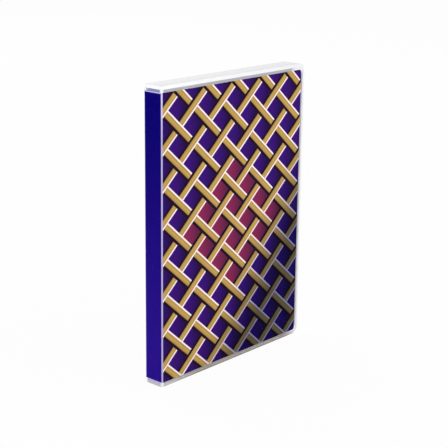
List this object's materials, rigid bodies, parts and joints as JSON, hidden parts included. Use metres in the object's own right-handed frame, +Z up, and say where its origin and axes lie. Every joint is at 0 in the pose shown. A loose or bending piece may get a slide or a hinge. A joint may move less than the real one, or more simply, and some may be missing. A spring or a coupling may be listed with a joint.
{
  "type": "game cartridge case",
  "caption": "Clear plastic folding case with a printed paper wrap under outer film, thin moulded hinges at the spine, and a tray inside whose pockets hold game cartridges.",
  "frame": {"origin": "middle of the bottom, on the surface that the closed case stands on", "axes": "+Z up along the spine, +X from the spine to the opening side, +Y from the front cover to the back cover"},
  "size_m": [0.135, 0.015, 0.19],
  "materials": {
    "clear_plastic": "gloss",
    "clear_film": "gloss",
    "cover_paper": "satin",
    "spine_paper": "satin",
    "tray_plastic": "satin"
  },
  "bodies": {
    "back": {"back_cover": "clear_plastic", "cartridge_tray": "tray_plastic", "back_insert": "cover_paper", "back_film": "clear_film"},
    "spine": {"spine_panel": "clear_plastic", "back_hinge": "clear_plastic", "front_hinge": "clear_plastic", "spine_insert": "spine_paper", "spine_film": "clear_film"},
    "front": {"front_cover": "clear_plastic", "front_insert": "cover_paper", "front_film": "clear_film"}
  },
  "joints": [
    {"name": "spine_swing", "type": "hinge", "parent": "back", "child": "spine", "pos_m": [-0.06685, 0.00685, 0.095], "axis": [0, 0, -1], "range_deg": [0, 90], "deforming": ["back_hinge", "back_insert", "back_film"]},
    {"name": "front_cover_swing", "type": "hinge", "parent": "spine", "child": "front", "pos_m": [-0.06685, -0.00685, 0.095], "axis": [0, 0, -1], "range_deg": [0, 90], "deforming": ["front_hinge", "front_insert", "front_film"]}
  ]
}
